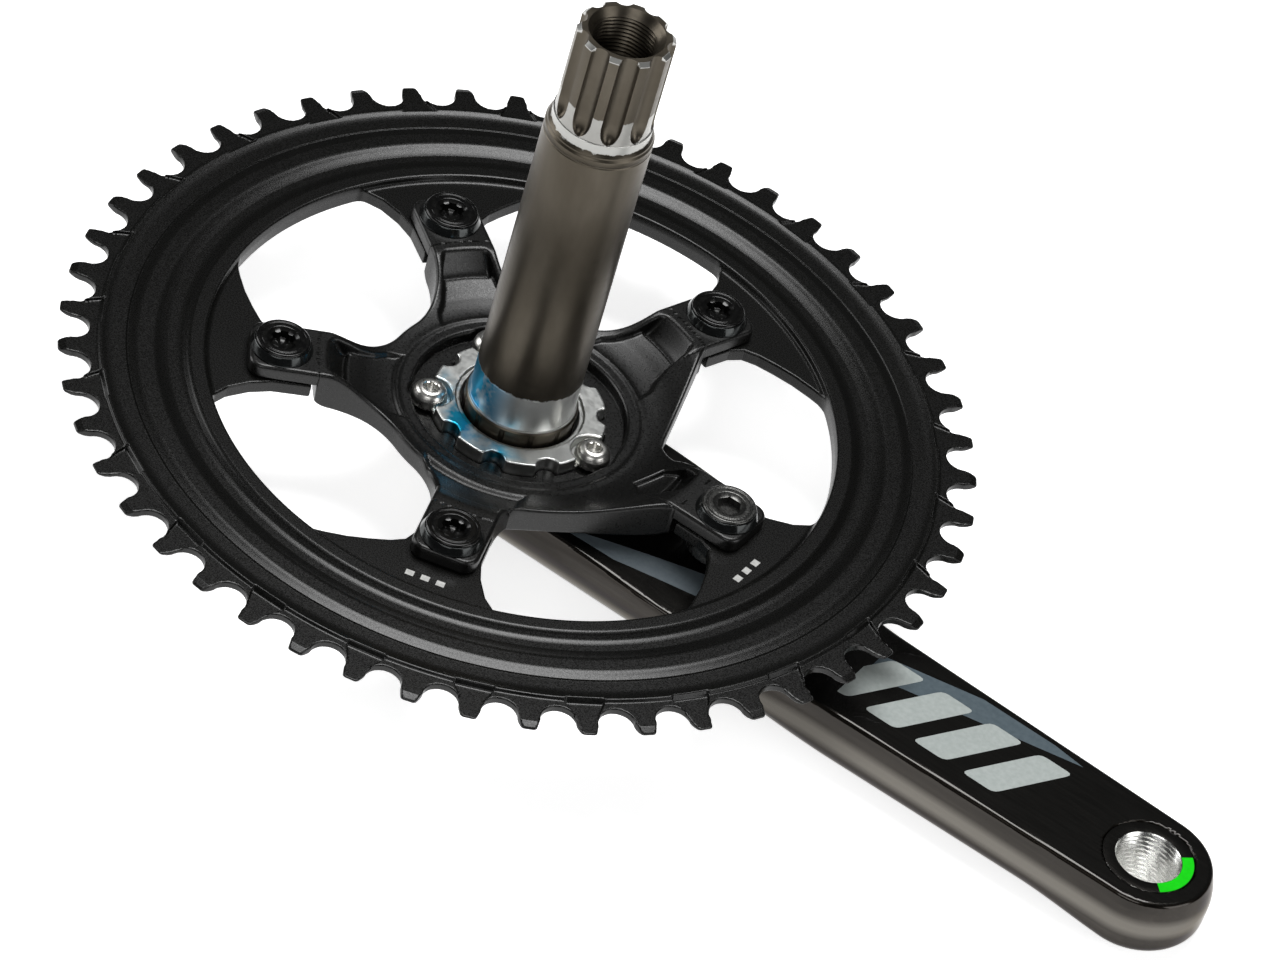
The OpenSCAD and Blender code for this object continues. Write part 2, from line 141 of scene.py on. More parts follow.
def above(z, r, curve):
    """Distance above a height curve of the radius, positive above it."""
    h, s = curve(r)
    return (z - h) / np.sqrt(1 + s * s)


def fold(x, y, step):
    """(u, v, index): the point turned into the sector of the nearest of the evenly spaced arms."""
    a = np.arctan2(y, x)
    k = np.round(a / step)
    r = np.hypot(x, y)
    return r * np.cos(a - k * step), r * np.sin(a - k * step), k % round(2 * PI / step)


# ---------------------------------------------------------------- meshes

def make_object(name, verts, faces, material, normals=None, sharp=None):
    """A mesh object from arrays: verts in millimetres, faces all quads or a list of polygons."""
    mesh = bpy.data.meshes.new(name)
    if isinstance(faces, np.ndarray):
        n, k = faces.shape
        mesh.vertices.add(len(verts))
        mesh.vertices.foreach_set("co", (np.asarray(verts) * MM).astype(np.float32).ravel())
        mesh.loops.add(n * k)
        mesh.loops.foreach_set("vertex_index", faces.astype(np.int32).ravel())
        mesh.polygons.add(n)
        mesh.polygons.foreach_set("loop_start", (np.arange(n) * k).astype(np.int32))
        mesh.update(calc_edges=True)
    else:
        mesh.from_pydata([tuple(c * MM for c in v) for v in verts], [], faces)
    mesh.validate()
    mesh.shade_smooth()
    if sharp is not None:
        mesh.set_sharp_from_angle(angle=math.radians(sharp))
    if normals is not None and len(normals) == len(mesh.vertices):
        mesh.normals_split_custom_set_from_vertices([tuple(v) for v in normals])
    for m in material if isinstance(material, list) else [material]:
        mesh.materials.append(m)
    obj = bpy.data.objects.new(name, mesh)
    bpy.context.scene.collection.objects.link(obj)
    return obj


def surface_net(f, wrap=False):
    """Quads around the zero level of a 3-D field that is negative inside; vertices in grid units."""
    if wrap:
        f = np.concatenate([f, f[:1]], axis=0)
    s = f < 0
    shape = tuple(n - 1 for n in f.shape)
    corners = [(i, j, k) for i in (0, 1) for j in (0, 1) for k in (0, 1)]
    part = lambda g, c: g[c[0]:c[0] + shape[0], c[1]:c[1] + shape[1], c[2]:c[2] + shape[2]]
    total = sum(part(s, c).astype(np.uint8) for c in corners)
    cells = np.argwhere((total > 0) & (total < 8))
    ids = np.full(shape, -1, np.int32)
    ids[tuple(cells.T)] = np.arange(len(cells))
    point = np.zeros((len(cells), 3))
    hits = np.zeros(len(cells))
    value = {c: f[cells[:, 0] + c[0], cells[:, 1] + c[1],
                  cells[:, 2] + c[2]].astype(float) for c in corners}
    for axis in range(3):
        for c in corners:
            if c[axis]:
                continue
            e = tuple(1 if k == axis else c[k] for k in range(3))
            a, b = value[c], value[e]
            cross = (a < 0) != (b < 0)
            t = np.where(cross, a / np.where(cross, a - b, 1), 0)
            hits += cross
            for k in range(3):
                point[:, k] += np.where(cross, t if k == axis else c[k], 0)
    verts = cells + point / hits[:, None]
    quads = []
    for axis in range(3):
        u, v = (axis + 1) % 3, (axis + 2) % 3
        lo = [slice(0, n) for n in f.shape]
        hi = [slice(0, n) for n in f.shape]
        lo[axis], hi[axis] = slice(0, -1), slice(1, None)
        s0, s1 = s[tuple(lo)], s[tuple(hi)]
        at = np.argwhere(s0 != s1)
        keep = np.ones(len(at), bool)
        for k in (u, v):
            if wrap and k == 0:
                keep &= at[:, 0] < shape[0]
            else:
                keep &= (at[:, k] > 0) & (at[:, k] < shape[k])
        at = at[keep]
        out = s0[tuple(at.T)]
        loop = []
        for du, dv in ((-1, -1), (0, -1), (0, 0), (-1, 0)):
            c = at.copy()
            c[:, u] += du
            c[:, v] += dv
            if wrap:
                c[:, 0] %= shape[0]
            loop.append(ids[tuple(c.T)])
        q = np.stack(loop, 1)
        quads.append(np.where(out[:, None], q, q[:, ::-1]))
    return verts, np.concatenate(quads)


def gradient(field, p, e=0.02):
    g = np.zeros_like(p)
    for k in range(3):
        step = np.zeros(3)
        step[k] = e
        g[:, k] = (field(*(p + step).T) - field(*(p - step).T)) / (2 * e)
    return g


def sdf_object(name, field, low, high, step, material):
    """A solid from a signed distance function of x, y and z, meshed on a grid of the given step."""
    low, high = np.array(low, float), np.array(high, float)
    n = np.ceil((high - low) / step).astype(int) + 1
    x, y, z = (low[k] + step * np.arange(n[k]) for k in range(3))
    grid = field(
        x[:, None, None], y[None, :, None], z[None, None, :]
    ).astype(np.float32)
    grid = np.broadcast_to(grid, tuple(n))
    verts, quads = surface_net(grid)
    return settle(name, field, low + verts * step, quads, material, step)


def settle(name, field, p, quads, material, step):
    """Moves the vertices onto the true surface and takes the shading normals from the field."""
    for _ in range(3):
        g = gradient(field, p)
        size = np.maximum((g * g).sum(1), 0.05)
        move = g * (field(*p.T) / size)[:, None]
        length = np.linalg.norm(move, axis=1)
        limit = 0.45 * step
        p = p - move * np.minimum(1, limit / np.maximum(length, 1e-9))[:, None]
    g = gradient(field, p)
    normals = g / np.maximum(np.linalg.norm(g, axis=1), 1e-9)[:, None]
    return make_object(name, p, quads, material, normals)


def rounded(points, radius, closed=False):
    """The polyline with its corners turned into short arcs, as a list of points."""
    out = []
    n = len(points)
    for i, p in enumerate(points):
        if not closed and i in (0, n - 1):
            out.append(p)
            continue
        a, b = np.array(points[i - 1], float), np.array(points[(i + 1) % n], float)
        p = np.array(p, float)
        da, db = a - p, b - p
        la, lb = np.linalg.norm(da), np.linalg.norm(db)
        cut = min(radius, 0.4 * la, 0.4 * lb)
        if cut < 0.01:
            out.append(tuple(p))
            continue
        p0, p1 = p + da / la * cut, p + db / lb * cut
        for t in (0, 0.33, 0.67, 1):
            q = (1 - t) ** 2 * p0 + 2 * t * (1 - t) * p + t * t * p1
            out.append((float(q[0]), float(q[1])))
    return out


def lathe(name, profile, material, count=96, shape=None, closed=False, centre=(0, 0), sharp=38, turn=0.0):
    """A turned solid. shape(radius, z, angle, index) may change the radius with the angle."""
    angles = turn + 2 * PI * np.arange(count) / count
    verts, rows = [], []
    for i, (r, z) in enumerate(profile):
        if r < 1e-6:
            rows.append([len(verts)])
            verts.append((centre[0], centre[1], z))
            continue
        rr = np.full(count, float(r)) if shape is None else shape(r, z, angles, i)
        rows.append(list(range(len(verts), len(verts) + count)))
        verts.extend(zip(centre[0] + rr * np.cos(angles), centre[1] + rr * np.sin(angles),
                         np.full(count, z)))
    faces = []
    pairs = list(zip(rows, rows[1:])) + ([(rows[-1], rows[0])] if closed else [])
    for a, b in pairs:
        for k in range(count):
            m = (k + 1) % count
            if len(a) == 1:
                faces.append((a[0], b[m], b[k]))
            elif len(b) == 1:
                faces.append((a[k], a[m], b[0]))
            else:
                faces.append((a[k], a[m], b[m], b[k]))
    return make_object(name, verts, faces, material, sharp=sharp)


def slab(name, outlines, z0, z1, material):
    """Thin flat marks: each outline extruded from z0 to z1."""
    verts, faces = [], []
    for points in outlines:
        n, base = len(points), len(verts)
        area = sum(a[0] * b[1] - b[0] * a[1] for a, b in zip(points, points[1:] + points[:1]))
        points = points if area > 0 else points[::-1]
        verts += [(x, y, z0) for x, y in points] + [(x, y, z1) for x, y in points]
        faces.append(tuple(base + n + i for i in range(n)))
        faces.append(tuple(base + n - 1 - i for i in range(n)))
        faces += [(base + i, base + (i + 1) % n, base + n + (i + 1) % n, base + n + i) for i in range(n)]
    return make_object(name, verts, faces, material, sharp=30)


# ---------------------------------------------------------------- materials

class Nodes:
    """Short hand for building one material's node tree."""

    def __init__(self, name, **values):
        self.material = bpy.data.materials.new(name)
        self.material.use_nodes = True
        self.tree = self.material.node_tree
        self.shader = self.tree.nodes["Principled BSDF"]
        self.set(self.shader, **values)
        self.place = self.node("ShaderNodeTexCoord").outputs["Object"]

    def node(self, kind, **inputs):
        node = self.tree.nodes.new(kind)
        self.set(node, **inputs)
        return node

    def set(self, node, **inputs):
        for key, value in inputs.items():
            key = key.replace("_", " ")
            if isinstance(value, bpy.types.NodeSocket):
                self.tree.links.new(value, node.inputs[key])
            else:
                node.inputs[key].default_value = value

    def noise(self, scale, detail=3.0, stretch=(1, 1, 1), rough=0.55):
        m = self.node("ShaderNodeMapping", Scale=stretch, Vector=self.place)
        return self.node(
            "ShaderNodeTexNoise", Scale=scale, Detail=detail, Roughness=rough, Vector=m.outputs["Vector"]
        ).outputs["Fac"]

    def ramp(self, fac, *stops):
        node = self.node("ShaderNodeValToRGB", Fac=fac)
        ramp = node.color_ramp
        while len(ramp.elements) < len(stops):
            ramp.elements.new(0.5)
        for e, (at, value) in zip(ramp.elements, stops):
            e.position = at
            e.color = (*value, 1) if isinstance(value, (tuple, list)) else (value, value, value, 1)
        return node.outputs["Color"]

    def math(self, operation, a, b=0.0, c=0.0, clamp=False):
        node = self.tree.nodes.new("ShaderNodeMath")
        node.operation = operation
        node.use_clamp = clamp
        for socket, value in zip(node.inputs, (a, b, c)):
            if isinstance(value, bpy.types.NodeSocket):
                self.tree.links.new(value, socket)
            else:
                socket.default_value = value
        return node.outputs[0]

    def mix(self, fac, a, b):
        node = self.tree.nodes.new("ShaderNodeMix")
        node.data_type = "RGBA"
        for socket, value in ((node.inputs[0], fac), (node.inputs[6], a), (node.inputs[7], b)):
            if isinstance(value, bpy.types.NodeSocket):
                self.tree.links.new(value, socket)
            else:
                socket.default_value = (*value, 1) if isinstance(value, tuple) else value
        return node.outputs[2]

    def bump(self, height, strength, distance, normal=None):
        node = self.node("ShaderNodeBump", Strength=strength, Distance=distance, Height=height)
        if normal is not None:
            self.tree.links.new(normal, node.inputs["Normal"])
        return node.outputs["Normal"]

    def axis(self, name):
        return self.node("ShaderNodeSeparateXYZ", Vector=self.place).outputs[name]

    def radius(self):
        """Distance from the Z axis, in metres."""
        xyz = self.node("ShaderNodeSeparateXYZ", Vector=self.place)
        flat = self.node("ShaderNodeCombineXYZ", X=xyz.outputs["X"], Y=xyz.outputs["Y"])
        node = self.tree.nodes.new("ShaderNodeVectorMath")
        node.operation = "LENGTH"
        self.tree.links.new(flat.outputs["Vector"], node.inputs[0])
        return node.outputs["Value"]

    def step(self, value, low, high):
        """0 below low, 1 above high."""
        return self.node(
            "ShaderNodeMapRange", **{"Value": value, "From_Min": low, "From_Max": high}
        ).outputs["Result"]


def black_metal(name, dark, light, rough, grain, specular=0.5, metallic=0.0, turned=False):
    """Black anodised aluminium: a fine blasted grain, with turning marks where the part was turned."""
    m = Nodes(name, Metallic=metallic, **{"Specular IOR Level": specular})
    fine = m.noise(grain, 2.0)
    cloud = m.noise(60, 3.0)
    tone = m.math("ADD", m.math("MULTIPLY", fine, 0.75), m.math("MULTIPLY", cloud, 0.25))
    m.set(m.shader, **{"Base Color": m.ramp(tone, (0.35, dark), (0.68, light))})
    m.set(m.shader, Roughness=m.ramp(m.noise(grain * 0.8, 1.0), (0.3, rough - 0.07), (0.7, rough + 0.08)))
    normal = m.bump(fine, 0.16, 0.00004)
    if turned:
        wave = m.math("SINE", m.math("MULTIPLY", m.radius(), 2 * PI * 2600))
        worn = m.math("MULTIPLY", wave, m.noise(900, 2.0))
        normal = m.bump(worn, 0.10, 0.00002, normal)
    m.set(m.shader, Normal=normal)
    return m.material


def carbon_material():
    m = Nodes("carbon_clear_coat", **{
        "Coat Weight": 0.45, "Coat Roughness": 0.03, "Coat IOR": 1.5,
        "Specular Tint": (0.40, 0.37, 0.33, 1)})
    normal = m.node("ShaderNodeSeparateXYZ",
                    Vector=m.node("ShaderNodeTexCoord").outputs["Normal"]).outputs["Z"]
    face = m.step(normal, 0.80, 0.93)
    streak = m.noise(180, 4.0, (0.12, 1, 1), 0.65)
    fibre = m.noise(1500, 2.0, (0.05, 1, 1), 0.6)
    tone = m.math("ADD", m.math("MULTIPLY", streak, 0.6), m.math("MULTIPLY", fibre, 0.4))
    side = m.ramp(tone, (0.35, (0.016, 0.013, 0.010)), (0.55, (0.025, 0.021, 0.017)),
                  (0.75, (0.040, 0.035, 0.029)))
    # painted reflection: a lighter band of colour along the middle of the arm's sides, set by height,
    # stands in for a reflected light streak
    z = m.math("ADD", m.axis("Z"), m.math("MULTIPLY", m.noise(25, 1.0, (0.3, 1, 1)), 0.002))
    painted_reflection_band = m.math("MULTIPLY", m.step(z, -0.0232, -0.0210), m.step(z, -0.0172, -0.0192))
    side = m.mix(painted_reflection_band, side, (0.115, 0.106, 0.092))
    m.set(m.shader, **{"Base Color": m.mix(face, side, (0.003, 0.003, 0.0028))})
    m.set(m.shader, Metallic=m.math("SUBTRACT", 0.95, m.math("MULTIPLY", face, 0.95)))
    m.set(m.shader, Roughness=m.ramp(fibre, (0.3, 0.20), (0.7, 0.26)))
    m.set(m.shader, Normal=m.bump(fibre, 0.008, 0.00002))
    m.set(m.shader, **{"Coat Normal": m.bump(m.noise(30, 1.0), 0.02, 0.0005)})
    return m.material


def gloss_black():
    m = Nodes("gloss_black_anodised", **{"Metallic": 0.2, "Coat Weight": 0.25, "Coat Roughness": 0.05,
                                         "Specular IOR Level": 0.35})
    m.set(m.shader, **{"Base Color": m.ramp(m.noise(700), (0.35, (0.002, 0.002, 0.002)),
                                            (0.7, (0.006, 0.006, 0.0055)))})
    m.set(m.shader, Roughness=m.ramp(m.noise(1200), (0.3, 0.16), (0.7, 0.28)))
    m.set(m.shader, Normal=m.bump(m.noise(2200, 1.0), 0.008, 0.00002))
    return m.material


def polished_collar():
    m = Nodes("polished_black_collar", **{"Metallic": 0.85, "Specular IOR Level": 0.6})
    m.set(m.shader, **{"Base Color": m.ramp(m.noise(500), (0.3, (0.026, 0.028, 0.028)),
                                            (0.7, (0.042, 0.045, 0.045)))})
    m.set(m.shader, Roughness=m.ramp(m.noise(1300), (0.3, 0.11), (0.7, 0.17)))
    m.set(m.shader, Normal=m.bump(m.noise(3000, 1.0), 0.006, 0.00002))
    return m.material


def turned_steel():
    m = Nodes("turned_gunmetal", **{"Metallic": 0.9})
    m.set(m.shader, **{"Base Color": m.ramp(m.noise(800), (0.3, (0.070, 0.070, 0.067)),
                                            (0.7, (0.11, 0.11, 0.106)))})
    m.set(m.shader, Roughness=m.ramp(m.noise(1500), (0.3, 0.22), (0.7, 0.36)))
    m.set(m.shader, Normal=m.bump(m.noise(4000, 1.0), 0.012, 0.00002))
    return m.material


def bright_metal(name, low, high, rough, stain=False, brush=(1, 1, 1)):
    """Machined bright alloy or steel, with an optional blue stain left by thread compound."""
    m = Nodes(name, Metallic=1.0)
    tone = m.noise(420, 4.0, brush)
    colour = m.ramp(tone, (0.3, low), (0.7, high))
    if stain:
        xyz = m.node("ShaderNodeSeparateXYZ", Vector=m.place)
        side = m.math("ADD", m.math("MULTIPLY", xyz.outputs["X"], -0.35),
                      m.math("MULTIPLY", xyz.outputs["Y"], -0.94))
        near = m.math("MULTIPLY", m.step(side, 0.0085, 0.0135), m.step(m.radius(), 0.0196, 0.0178))
        spot = m.math("MULTIPLY", near, m.step(m.noise(170, 3.0), 0.40, 0.56))
        colour = m.mix(spot, colour, (0.02, 0.36, 0.56))
    m.set(m.shader, **{"Base Color": colour})
    m.set(m.shader, Roughness=m.ramp(m.noise(900, 3.0, brush), (0.3, rough - 0.04), (0.7, rough + 0.05)))
    m.set(m.shader, Normal=m.bump(m.noise(2600, 2.0, brush), 0.012, 0.00002))
    return m.material


def spindle_material():
    """Brown-grey coated steel with a bright ground seat at each bearing, the lower one stained blue."""
    m = Nodes("spindle_coated_steel", Metallic=0.92)
    z, r = m.axis("Z"), m.radius()
    cloud = m.noise(95, 4.0, (1, 1, 0.35))
    coat = m.ramp(cloud, (0.3, (0.064, 0.054, 0.040)), (0.5, (0.080, 0.069, 0.053)),
                  (0.72, (0.104, 0.091, 0.072)))
    ragged = m.math("MULTIPLY", m.math("SUBTRACT", m.noise(700, 3.0), 0.5), 0.0016)
    zr = m.math("ADD", z, ragged)
    lower = m.math("MULTIPLY", m.step(zr, 0.0093, 0.0089), m.step(z, -0.0003, 0.0001))
    upper = m.math("MULTIPLY", m.math("MULTIPLY", m.step(zr, 0.0800, 0.0802), m.step(zr, 0.0887, 0.0884)),
                   m.step(r, 0.01068, 0.01085))
    edge = m.math("MULTIPLY", m.step(z, 0.1040, 0.1044), m.step(r, 0.0098, 0.0100))
    bright = m.math("MAXIMUM", m.math("MAXIMUM", lower, upper), edge, clamp=True)
    silver = m.ramp(m.noise(300, 4.0), (0.3, (0.84, 0.85, 0.83)), (0.7, (0.96, 0.97, 0.95)))
    silver = m.mix(m.math("MAXIMUM", upper, edge), silver, (0.46, 0.46, 0.44))
    colour = m.mix(bright, coat, silver)
    xyz = m.node("ShaderNodeSeparateXYZ", Vector=m.place)
    side = m.math("ADD", m.math("MULTIPLY", xyz.outputs["X"], -0.80),
                  m.math("MULTIPLY", xyz.outputs["Y"], -0.60))
    blue = m.math("MULTIPLY", m.math("MULTIPLY", m.step(side, 0.0030, 0.0095), lower),
                  m.step(m.noise(190, 3.0), 0.30, 0.50))
    colour = m.mix(blue, colour, (0.0, 0.33, 0.60))
    m.set(m.shader, **{"Base Color": colour})
    grind = m.noise(1600, 2.0, (0.2, 0.2, 1.0))
    coat_rough = m.ramp(grind, (0.3, 0.30), (0.7, 0.37))
    m.set(m.shader, Roughness=m.mix(bright, coat_rough, (0.32, 0.32, 0.32)))
    m.set(m.shader, Normal=m.bump(grind, 0.012, 0.00002))
    return m.material


def printed(name, low, high, rough, gloss=0.5):
    m = Nodes(name, **{"Coat Weight": gloss, "Coat Roughness": 0.08,
                       "Specular IOR Level": 0.15 + 0.5 * gloss})
    m.set(m.shader, **{"Base Color": m.ramp(m.noise(900, 3.0), (0.3, low), (0.7, high))})
    m.set(m.shader, Roughness=m.ramp(m.noise(1500), (0.3, rough - 0.06), (0.7, rough + 0.08)))
    m.set(m.shader, Normal=m.bump(m.noise(3000, 1.0), 0.04, 0.00002))
    return m.material


def foam_material():
    m = Nodes("moulded_foam", **{"Specular IOR Level": 0.3})
    cells = m.node("ShaderNodeTexVoronoi", Scale=1400.0, Vector=m.place).outputs["Distance"]
    m.set(m.shader, **{"Base Color": m.ramp(cells, (0.1, (0.62, 0.55, 0.40)), (0.6, (0.84, 0.78, 0.62)))})
    m.set(m.shader, Roughness=m.ramp(cells, (0.1, 0.75), (0.7, 0.95)))
    m.set(m.shader, Normal=m.bump(cells, 0.5, 0.0002))
    return m.material


RING = black_metal("ring_satin_black", (0.0015, 0.0015, 0.0012), (0.0045, 0.0045, 0.004), 0.28, 4200, 0.36,
                   turned=True)
SPIDER = black_metal("spider_satin_black", (0.0015, 0.0015, 0.0013), (0.005, 0.005, 0.0045), 0.32, 3600,
                     0.42)
NUT = black_metal("nut_gloss_black", (0.004, 0.004, 0.004), (0.010, 0.010, 0.010), 0.26, 3000)
CARBON = carbon_material()
BOLT = gloss_black()
COLLAR = polished_collar()
GUNMETAL = turned_steel()
PLATE = bright_metal("machined_alloy", (0.66, 0.67, 0.65), (0.76, 0.77, 0.75), 0.33, stain=True)
THREAD = bright_metal("threaded_steel", (0.72, 0.72, 0.70), (0.84, 0.84, 0.82), 0.24)
SCREW = bright_metal("plated_screw", (0.60, 0.59, 0.56), (0.72, 0.71, 0.68), 0.30)
SPINDLE = spindle_material()
PRINT_GREY = printed("print_silver_grey", (0.36, 0.40, 0.385), (0.43, 0.47, 0.455), 0.42)
PRINT_ROOT = printed("print_slate", (0.085, 0.105, 0.120), (0.105, 0.128, 0.142), 0.40, 0.3)
PRINT_BLUE = printed("print_blue_grey", (0.055, 0.082, 0.100), (0.080, 0.112, 0.132), 0.40)
PRINT_WHITE = printed("print_pale", (0.40, 0.40, 0.39), (0.58, 0.58, 0.56), 0.5)
GREEN = printed("green_film", (0.0, 0.60, 0.0), (0.0, 0.68, 0.0), 0.45, 0.0)
FOAM = foam_material()


# ---------------------------------------------------------------- chainring

RING_TOP = smooth_curve([
    (40, 0), (WINDOW_R - 1.0, 0), (WINDOW_R - 0.2, 0.35), (WINDOW_R + 0.35, 1.3), (WINDOW_R + 0.75, 1.45),
    (WINDOW_R + 3.35, 1.45), (WINDOW_R + 3.8, 1.32), (WINDOW_R + 4.6, 0.85), (WINDOW_R + 5.6, 0.36),
    (WINDOW_R + 6.8, 0.2), (WINDOW_R + 8.3, 0.2), (WINDOW_R + 8.8, 0.30), (WINDOW_R + 10.2, 0.72),
    (WINDOW_R + 11.4, 1.18), (WINDOW_R + 11.9, 1.3), (WINDOW_R + 14.9, 1.3), (WINDOW_R + 15.4, 1.24),
    (WINDOW_R + 16.6, 0.92), (WINDOW_R + 18.2, 0.58), (WINDOW_R + 19.4, 0.5), (WINDOW_R + 20.6, 0.60),
    (WINDOW_R + 22.2, 1.02), (WINDOW_R + 23.3, 1.38), (WINDOW_R + 23.6, 1.43), (110, 1.43),
])
RING_UNDER = smooth_curve([
    (40, TAB_T), (WINDOW_R, TAB_T), (WINDOW_R + 12, 3.0), (WINDOW_R + 18, 2.7), (WINDOW_R + 22, 1.5),
    (WINDOW_R + 23.9, 0.95), (110, 0.95),
])
TAB = [
    (47.5, -7.8), (54, -7.9), (57.2, -9.2), (59.2, -12), (61, -16), (62.8, -20.8), (64, -25.6), (65, -31),
    (80, -36), (82, 24), (WINDOW_R, 19), (69.6, 15.6), (66, 12), (61, 9.4), (56, 8), (47.5, 7.8),
]


def chainring_field(r, a, z):
    """Distance to the one-piece chainring, in cylindrical coordinates."""
    k = np.round(a / ARM_STEP)
    u, v = r * np.cos(a - k * ARM_STEP), r * np.sin(a - k * ARM_STEP)
    tab = polygon(u, v, TAB)
    web = either(tab, WINDOW_R - r, 1.2)
    body = both(web, above(z, r, RING_TOP), 0.45)
    body = both(body, above(-z, r, RING_UNDER), 0.45)
    body = both(body, r - (RIM_R + 0.15), 0.30)
    bolt = np.hypot(u - BOLT_R, v) - 5.02
    body = less(body, bolt, 0.35)
    # teeth
    g = np.round(a / TOOTH_STEP)
    x = r * np.cos(a - g * TOOTH_STEP) - PITCH_R
    y = np.abs(r * np.sin(a - g * TOOTH_STEP))
    gullet = np.where(x < 0, np.hypot(x, y) - ROLLER_R, (y - ROLLER_R - 0.35 * x) / 1.0595)
    plan = both(r - TIP_R, -gullet, 0.55)
    t = np.floor(a / TOOTH_STEP) - 1
    mid = (np.floor(a / TOOTH_STEP) + 0.5) * TOOTH_STEP
    tx, ty = r * np.cos(a - mid) - RIM_R, np.abs(r * np.sin(a - mid))
    narrow = np.mod(t, 2) == 0
    # the tips are thinned towards their ends
    thin = np.maximum(r - (PITCH_R + 1.2), 0) * 0.34
    teeth = both(plan, (z + thin - TOOTH_TOP), 0.30)
    teeth = both(teeth, TOOTH_BOTTOM - z + thin, 0.30)
    relief_wall = np.interp(tx, [0, 2, 4, 5, 10], [4.3, 3.5, 2.5, 3.2, 3.2])
    slope = 0.55 * (z - RELIEF_FLOOR)
    relief = both(ty - relief_wall, -(tx - 0.15 + slope), 0.3)
    relief = both(relief, RELIEF_FLOOR - z, 0.25)
    relief = np.where(narrow, relief, 9.0)
    teeth = less(teeth, relief, 0.22)
    both_parts = either(np.maximum(teeth, RIM_R - 6 - r), body, 0.25)
    return less(both_parts, np.where(narrow & (tx > -1.5), relief, 9.0), 0.22)


def chainring_xyz(x, y, z):
    return chainring_field(np.hypot(x, y), np.mod(np.arctan2(y, x), 2 * PI), z)


def build_chainring():
    n = 1500
    a = 2 * PI * np.arange(n) / n
    dr, dz = 0.42, 0.30
    r = 46.0 + dr * np.arange(int((TIP_R + 1.2 - 46.0) / dr) + 2)
    z = -4.0 + dz * np.arange(int(6.3 / dz) + 2)
    field = np.concatenate([
        chainring_field(r[None, :, None], part[:, None, None], z[None, None, :]).astype(np.float32)
        for part in np.array_split(a, 10)
    ])
    verts, quads = surface_net(field, wrap=True)
    angle, radius, height = verts[:, 0] * 2 * PI / n, 46.0 + verts[:, 1] * dr, -4.0 + verts[:, 2] * dz
    p = np.stack([radius * np.cos(angle), radius * np.sin(angle), height], 1)
    obj = settle("chainring_one_piece", chainring_xyz, p, quads[:, ::-1], RING, 0.4)
    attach(obj, "crank")
    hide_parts("chainring")
    marks = []
    for angle, at in ((0.0, (-13, -9.5, -6)), (-ARM_STEP, (-6, -2.5, 1))):
        c, s = math.cos(angle), math.sin(angle)
        for v in at:
            box = [(66.2, v), (67.8, v), (67.8, v + 1.9), (66.2, v + 1.9)]
            marks.append([(c * x - s * y, s * x + c * y) for x, y in box])
    tick = slab("tab_tick_marks", marks, -0.02, 0.03, PRINT_WHITE)
    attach(tick, "crank")


# ---------------------------------------------------------------- spider

HUB_INNER = 24.4
ARC_Y = PAD_HALF + FILLET_R
ARC_X = math.sqrt((HUB_R + FILLET_R) ** 2 - ARC_Y**2)
SPIDER_TOP = smooth_curve([
    (-1, HUB_TOP - 0.35), (26.8, HUB_TOP - 0.35), (28.0, HUB_TOP), (28.9, HUB_TOP), (31, -2.3), (34, -1.4),
    (37, 0), (40, 1.7), (42.5, 2.9), (44.4, PAD_T - 0.05),
    (45.4, PAD_T), (80, PAD_T),
])
SPIDER_UNDER = smooth_curve([
    (-1, -SPIDER_FLOOR), (29.5, -SPIDER_FLOOR), (32, 7.0), (42, 6.2), (46.7, 4.6), (46.95, 0.0), (80, 0.0),
])
WEBS = (
    [(0, 0), (45.6, -PAD_HALF), (21.8, -30.1), (18.4, -33.5), (12.4, -41)],
    [(0, 0), (44, PAD_HALF), (38, 9), (34, 9.2), (31.2, 11.4), (29.6, 15.3), (21.2, 41.4)],
)
ARM_POCKET = [(26, -9.9), (30.2, -9.4), (33, -7.8), (37, -6.5), (42.4, -5.7), (46, -4.5), (46, 4.5),
              (42.4, 5.7),
              (37, 6.5), (33, 7.8), (30.2, 9.4), (26, 9.9)]
TUB = smooth_curve([(20, -3.35), (29.5, -3.3), (34, -2.6), (38, -1.35), (39.4, -1.0), (39.75, -1.25),
                    (40.2, -1.95),
                    (40.6, -1.8), (44.0, 2.7), (44.6, 3.7), (46, 5.5), (80, 5.5)])
CRANK_POCKET = [(33.2, -2.6), (36.2, -6), (40, -5), (43.2, -1.4), (43.6, 1), (43.4, 5.2), (40, 6.4),
                (36, 4.6)]
CRESCENT = [(27, -12.6), (34.6, -11.4), (38.6, -6.6), (40.2, -3), (40.2, 3), (38.6, 6.6), (34, 9.4),
            (27, 9.4)]


